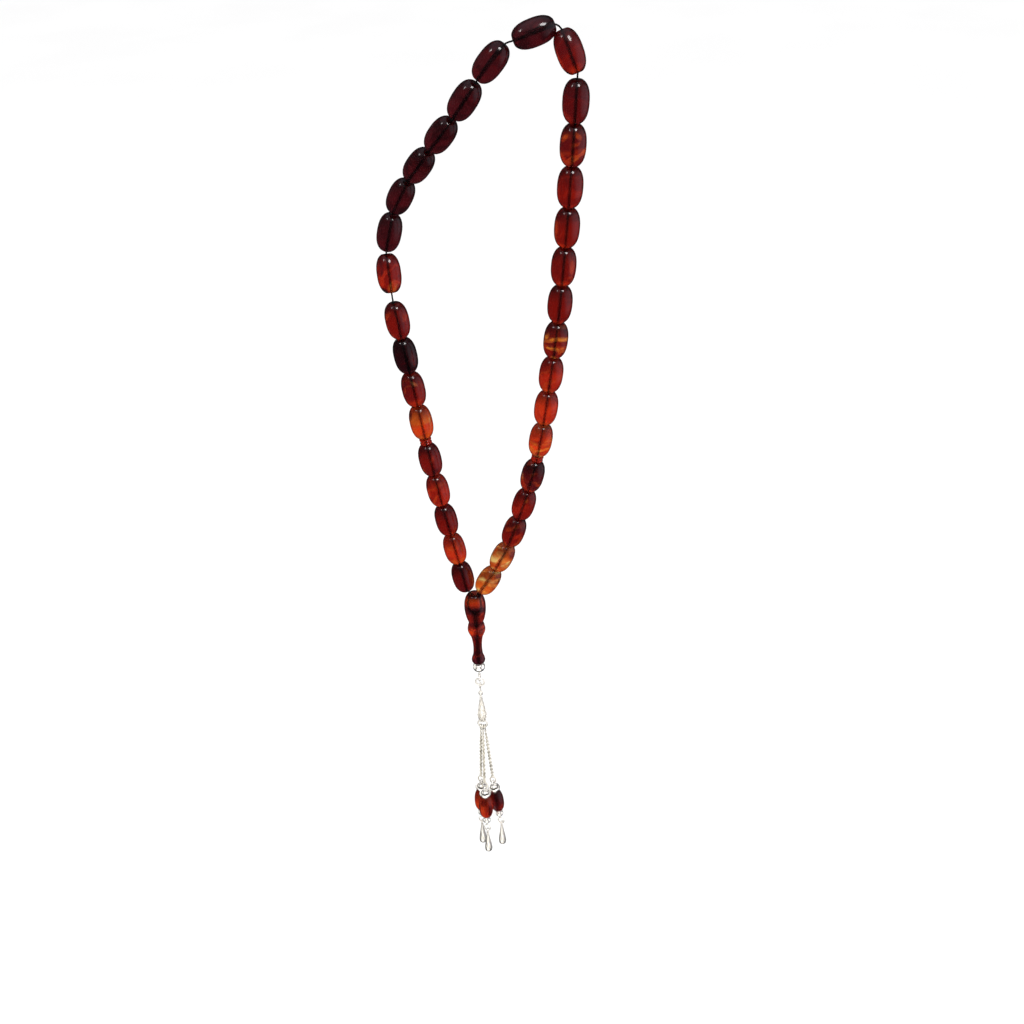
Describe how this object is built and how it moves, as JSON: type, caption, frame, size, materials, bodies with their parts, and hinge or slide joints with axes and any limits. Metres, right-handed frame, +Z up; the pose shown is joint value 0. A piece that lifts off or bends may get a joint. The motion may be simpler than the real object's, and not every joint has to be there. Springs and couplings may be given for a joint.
{
  "type": "misbaha prayer beads",
  "caption": "Strand of olive-shaped dark amber prayer beads on a black cord, with two spacer discs, an imame and a silver chain tassel, hanging from a pinch.",
  "frame": {"origin": "the pinch: the middle of the bead held between finger and thumb, from which everything hangs", "axes": "+Z up, the tassel hangs towards -Z; the two free arms hang in the plane Y = 0, and the front, the side that is seen, faces -Y"},
  "size_m": [0.0707, 0.0165, 0.3496],
  "materials": {
    "amber_dark": "polished",
    "amber_red": "polished",
    "amber_orange": "polished",
    "amber_marbled": "polished",
    "disc_red": "satin",
    "cord_black": "matte",
    "silver": "polished"
  },
  "bodies": {
    "held": {"held_cord": "cord_black", "bead_16": "amber_red", "bead_17": "amber_dark"},
    "bead_18_body": {"bead_18": "amber_dark"},
    "bead_19_body": {"bead_19": "amber_dark"},
    "bead_20_body": {"bead_20": "amber_dark"},
    "bead_21_body": {"bead_21": "amber_dark"},
    "bead_22_body": {"bead_22": "amber_red"},
    "bead_23_body": {"bead_23": "amber_red"},
    "bead_24_body": {"bead_24": "amber_orange"},
    "loop": {"hanging_cord": "cord_black"},
    "bead_15_body": {"bead_15": "amber_dark"},
    "bead_14_body": {"bead_14": "amber_marbled"},
    "bead_13_body": {"bead_13": "amber_red"},
    "bead_12_body": {"bead_12": "amber_red"},
    "bead_11_body": {"bead_11": "amber_red"},
    "bead_10_body": {"bead_10": "amber_red"},
    "bead_09_body": {"bead_09": "amber_red"},
    "bead_08_body": {"bead_08": "amber_orange"},
    "bead_07_body": {"bead_07": "amber_orange"},
    "bead_06_body": {"bead_06": "amber_marbled"},
    "spacer_disc_right_body": {"spacer_disc_right": "disc_red"},
    "bead_05_body": {"bead_05": "amber_dark"},
    "bead_04_body": {"bead_04": "amber_red"},
    "bead_03_body": {"bead_03": "amber_red"},
    "bead_02_body": {"bead_02": "amber_marbled"},
    "bead_01_body": {"bead_01": "amber_marbled"},
    "bead_25_body": {"bead_25": "amber_red"},
    "bead_26_body": {"bead_26": "amber_dark"},
    "bead_27_body": {"bead_27": "amber_red"},
    "bead_28_body": {"bead_28": "amber_marbled"},
    "spacer_disc_left_body": {"spacer_disc_left": "disc_red"},
    "bead_29_body": {"bead_29": "amber_red"},
    "bead_30_body": {"bead_30": "amber_orange"},
    "bead_31_body": {"bead_31": "amber_dark"},
    "bead_32_body": {"bead_32": "amber_orange"},
    "bead_33_body": {"bead_33": "amber_dark"},
    "imame_body": {"imame": "amber_red", "imame_cord": "cord_black", "tassel_ball": "silver"},
    "ring": {"jump_ring": "silver"},
    "drop": {"filigree_drop": "silver"},
    "chain_front_body": {"chain_front": "silver"},
    "pendant_front": {"eye_pin_front": "silver", "top_cap_front": "silver", "bottom_cap_front": "silver"},
    "tassel_bead_front_body": {"tassel_bead_front": "amber_orange"},
    "leaf_front_body": {"leaf_front": "silver"},
    "chain_right_body": {"chain_right": "silver"},
    "pendant_right": {"eye_pin_right": "silver", "top_cap_right": "silver", "bottom_cap_right": "silver"},
    "tassel_bead_right_body": {"tassel_bead_right": "amber_dark"},
    "leaf_right_body": {"leaf_right": "silver"},
    "chain_left_body": {"chain_left": "silver"},
    "pendant_left": {"eye_pin_left": "silver", "top_cap_left": "silver", "bottom_cap_left": "silver"},
    "tassel_bead_left_body": {"tassel_bead_left": "amber_orange"},
    "leaf_left_body": {"leaf_left": "silver"}
  },
  "joints": [
    {"name": "turn_bead_18", "type": "hinge", "parent": "held", "child": "bead_18_body", "pos_m": [-0.0098, -0.00352, -0.00563], "axis": [-0.6361, -0.0973, -0.7654], "continuous": true},
    {"name": "turn_bead_19", "type": "hinge", "parent": "held", "child": "bead_19_body", "pos_m": [-0.01813, -0.00377, -0.01665], "axis": [-0.5801, 0.0513, -0.8129], "continuous": true},
    {"name": "turn_bead_20", "type": "hinge", "parent": "held", "child": "bead_20_body", "pos_m": [-0.0264, -0.0021, -0.02761], "axis": [-0.6111, 0.1932, -0.7676], "continuous": true},
    {"name": "turn_bead_21", "type": "hinge", "parent": "held", "child": "bead_21_body", "pos_m": [-0.03482, 0.00079, -0.03825], "axis": [-0.6026, 0.2182, -0.7676], "continuous": true},
    {"name": "turn_bead_22", "type": "hinge", "parent": "held", "child": "bead_22_body", "pos_m": [-0.04244, 0.00366, -0.04944], "axis": [-0.491, 0.1961, -0.8488], "continuous": true},
    {"name": "turn_bead_23", "type": "hinge", "parent": "held", "child": "bead_23_body", "pos_m": [-0.04759, 0.0049, -0.06204], "axis": [-0.2474, -0.0249, -0.9686], "continuous": true},
    {"name": "turn_bead_24", "type": "hinge", "parent": "held", "child": "bead_24_body", "pos_m": [-0.04831, 0.00262, -0.07533], "axis": [0.1428, -0.302, -0.9426], "continuous": true},
    {"name": "loop_swing", "type": "hinge", "parent": "held", "child": "loop", "pos_m": [0.01477, 0, -0.01], "axis": [0.6441, 0, 0.7649], "range_deg": [-25, 25]},
    {"name": "slack_right", "type": "slide", "parent": "loop", "child": "bead_15_body", "axis": [0.0686, 0, 0.9976], "range_m": [0, 0.0007]},
    {"name": "slide_bead_14", "type": "slide", "parent": "loop", "child": "bead_14_body", "axis": [0.0748, 0, 0.9972], "range_m": [0, 0.000676]},
    {"name": "slide_bead_13", "type": "slide", "parent": "loop", "child": "bead_13_body", "axis": [0.0807, 0, 0.9967], "range_m": [0, 0.000633]},
    {"name": "slide_bead_12", "type": "slide", "parent": "loop", "child": "bead_12_body", "axis": [0.089, 0, 0.996], "range_m": [0, 0.000589]},
    {"name": "slide_bead_11", "type": "slide", "parent": "loop", "child": "bead_11_body", "axis": [0.0975, 0, 0.9952], "range_m": [0, 0.000545]},
    {"name": "slide_bead_10", "type": "slide", "parent": "loop", "child": "bead_10_body", "axis": [0.1111, 0, 0.9938], "range_m": [0, 0.000501]},
    {"name": "slide_bead_09", "type": "slide", "parent": "loop", "child": "bead_09_body", "axis": [0.1305, 0, 0.9914], "range_m": [0, 0.000458]},
    {"name": "slide_bead_08", "type": "slide", "parent": "loop", "child": "bead_08_body", "axis": [0.1461, 0, 0.9893], "range_m": [0, 0.000414]},
    {"name": "slide_bead_07", "type": "slide", "parent": "loop", "child": "bead_07_body", "axis": [0.1522, 0, 0.9883], "range_m": [0, 0.00037]},
    {"name": "slide_bead_06", "type": "slide", "parent": "loop", "child": "bead_06_body", "axis": [0.1772, 0, 0.9842], "range_m": [0, 0.000326]},
    {"name": "slide_spacer_disc_right", "type": "slide", "parent": "loop", "child": "spacer_disc_right_body", "axis": [0.2125, 0, 0.9772], "range_m": [0, 0.000282]},
    {"name": "slide_bead_05", "type": "slide", "parent": "loop", "child": "bead_05_body", "axis": [0.25, 0, 0.9683], "range_m": [0, 0.000239]},
    {"name": "slide_bead_04", "type": "slide", "parent": "loop", "child": "bead_04_body", "axis": [0.289, 0, 0.9573], "range_m": [0, 0.000195]},
    {"name": "slide_bead_03", "type": "slide", "parent": "loop", "child": "bead_03_body", "axis": [0.3285, 0, 0.9445], "range_m": [0, 0.000151]},
    {"name": "slide_bead_02", "type": "slide", "parent": "loop", "child": "bead_02_body", "axis": [0.4152, 0, 0.9097], "range_m": [0, 0.000107]},
    {"name": "slide_bead_01", "type": "slide", "parent": "loop", "child": "bead_01_body", "axis": [0.4849, 0, 0.8746], "range_m": [0, 0.000064]},
    {"name": "slack_left", "type": "slide", "parent": "loop", "child": "bead_25_body", "axis": [-0.1271, 0, 0.9919], "range_m": [0, 0.0015]},
    {"name": "slide_bead_26", "type": "slide", "parent": "loop", "child": "bead_26_body", "axis": [-0.1394, 0, 0.9902], "range_m": [0, 0.00137]},
    {"name": "slide_bead_27", "type": "slide", "parent": "loop", "child": "bead_27_body", "axis": [-0.1356, 0, 0.9908], "range_m": [0, 0.00122]},
    {"name": "slide_bead_28", "type": "slide", "parent": "loop", "child": "bead_28_body", "axis": [-0.1332, 0, 0.9911], "range_m": [0, 0.00107]},
    {"name": "slide_spacer_disc_left", "type": "slide", "parent": "loop", "child": "spacer_disc_left_body", "axis": [-0.1405, 0, 0.9901], "range_m": [0, 0.00092]},
    {"name": "slide_bead_29", "type": "slide", "parent": "loop", "child": "bead_29_body", "axis": [-0.1483, 0, 0.9889], "range_m": [0, 0.00077]},
    {"name": "slide_bead_30", "type": "slide", "parent": "loop", "child": "bead_30_body", "axis": [-0.162, 0, 0.9868], "range_m": [0, 0.00062]},
    {"name": "slide_bead_31", "type": "slide", "parent": "loop", "child": "bead_31_body", "axis": [-0.1789, 0, 0.9839], "range_m": [0, 0.00047]},
    {"name": "slide_bead_32", "type": "slide", "parent": "loop", "child": "bead_32_body", "axis": [-0.1901, 0, 0.9818], "range_m": [0, 0.00032]},
    {"name": "slide_bead_33", "type": "slide", "parent": "loop", "child": "bead_33_body", "axis": [-0.1719, 0, 0.9851], "range_m": [0, 0.00017]},
    {"name": "imame_swing", "type": "hinge", "parent": "loop", "child": "imame_body", "pos_m": [-0.0258, 0, -0.2036], "axis": [1, 0, 0], "range_deg": [-25, 25]},
    {"name": "ring_swing", "type": "hinge", "parent": "imame_body", "child": "ring", "pos_m": [-0.0258, 0, -0.2454], "axis": [1, 0, 0], "range_deg": [-40, 40]},
    {"name": "drop_swing", "type": "hinge", "parent": "ring", "child": "drop", "pos_m": [-0.0258, 0, -0.24715], "axis": [0, 1, 0], "range_deg": [-40, 40]},
    {"name": "chain_front_swing", "type": "hinge", "parent": "drop", "child": "chain_front_body", "pos_m": [-0.0258, 0, -0.2715], "axis": [-1, 0, 0], "range_deg": [0, 25]},
    {"name": "pendant_front_swing", "type": "hinge", "parent": "chain_front_body", "child": "pendant_front", "pos_m": [-0.02567, -0.00365, -0.30318], "axis": [-1, 0, 0], "range_deg": [0, 25]},
    {"name": "turn_tassel_bead_front", "type": "hinge", "parent": "pendant_front", "child": "tassel_bead_front_body", "pos_m": [-0.02567, -0.00365, -0.31413], "axis": [0, 0, 1], "continuous": true},
    {"name": "leaf_front_swing", "type": "hinge", "parent": "pendant_front", "child": "leaf_front_body", "pos_m": [-0.02567, -0.00365, -0.32886], "axis": [-1, 0, 0], "range_deg": [0, 40]},
    {"name": "chain_right_swing", "type": "hinge", "parent": "drop", "child": "chain_right_body", "pos_m": [-0.02491, 0, -0.27128], "axis": [0, -1, 0], "range_deg": [0, 25]},
    {"name": "pendant_right_swing", "type": "hinge", "parent": "chain_right_body", "child": "pendant_right", "pos_m": [-0.02326, 0.00118, -0.30352], "axis": [0, -1, 0], "range_deg": [0, 25]},
    {"name": "turn_tassel_bead_right", "type": "hinge", "parent": "pendant_right", "child": "tassel_bead_right_body", "pos_m": [-0.02222, 0.00167, -0.31527], "axis": [-0.0947, -0.0442, 0.9945], "continuous": true},
    {"name": "leaf_right_swing", "type": "hinge", "parent": "pendant_right", "child": "leaf_right_body", "pos_m": [-0.02083, 0.00232, -0.32906], "axis": [0, -1, 0], "range_deg": [0, 40]},
    {"name": "chain_left_swing", "type": "hinge", "parent": "drop", "child": "chain_left_body", "pos_m": [-0.02669, 0, -0.27128], "axis": [0, 1, 0], "range_deg": [0, 25]},
    {"name": "pendant_left_swing", "type": "hinge", "parent": "chain_left_body", "child": "pendant_left", "pos_m": [-0.02859, 0.00195, -0.30462], "axis": [0, 1, 0], "range_deg": [0, 25]},
    {"name": "turn_tassel_bead_left", "type": "hinge", "parent": "pendant_left", "child": "tassel_bead_left_body", "pos_m": [-0.02905, 0.00228, -0.31641], "axis": [0.0429, -0.03, 0.9986], "continuous": true},
    {"name": "leaf_left_swing", "type": "hinge", "parent": "pendant_left", "child": "leaf_left_body", "pos_m": [-0.02969, 0.00272, -0.33027], "axis": [0, 1, 0], "range_deg": [0, 40]}
  ],
  "couplings": [
    {"joint": "slide_bead_14", "follows": "slack_right", "ratio": 0.9375},
    {"joint": "slide_bead_13", "follows": "slack_right", "ratio": 0.875},
    {"joint": "slide_bead_12", "follows": "slack_right", "ratio": 0.8125},
    {"joint": "slide_bead_11", "follows": "slack_right", "ratio": 0.75},
    {"joint": "slide_bead_10", "follows": "slack_right", "ratio": 0.6875},
    {"joint": "slide_bead_09", "follows": "slack_right", "ratio": 0.625},
    {"joint": "slide_bead_08", "follows": "slack_right", "ratio": 0.5625},
    {"joint": "slide_bead_07", "follows": "slack_right", "ratio": 0.5},
    {"joint": "slide_bead_06", "follows": "slack_right", "ratio": 0.4375},
    {"joint": "slide_spacer_disc_right", "follows": "slack_right", "ratio": 0.375},
    {"joint": "slide_bead_05", "follows": "slack_right", "ratio": 0.3125},
    {"joint": "slide_bead_04", "follows": "slack_right", "ratio": 0.25},
    {"joint": "slide_bead_03", "follows": "slack_right", "ratio": 0.1875},
    {"joint": "slide_bead_02", "follows": "slack_right", "ratio": 0.125},
    {"joint": "slide_bead_01", "follows": "slack_right", "ratio": 0.0625},
    {"joint": "slide_bead_26", "follows": "slack_left", "ratio": 0.9},
    {"joint": "slide_bead_27", "follows": "slack_left", "ratio": 0.8},
    {"joint": "slide_bead_28", "follows": "slack_left", "ratio": 0.7},
    {"joint": "slide_spacer_disc_left", "follows": "slack_left", "ratio": 0.6},
    {"joint": "slide_bead_29", "follows": "slack_left", "ratio": 0.5},
    {"joint": "slide_bead_30", "follows": "slack_left", "ratio": 0.4},
    {"joint": "slide_bead_31", "follows": "slack_left", "ratio": 0.3},
    {"joint": "slide_bead_32", "follows": "slack_left", "ratio": 0.2},
    {"joint": "slide_bead_33", "follows": "slack_left", "ratio": 0.1}
  ]
}
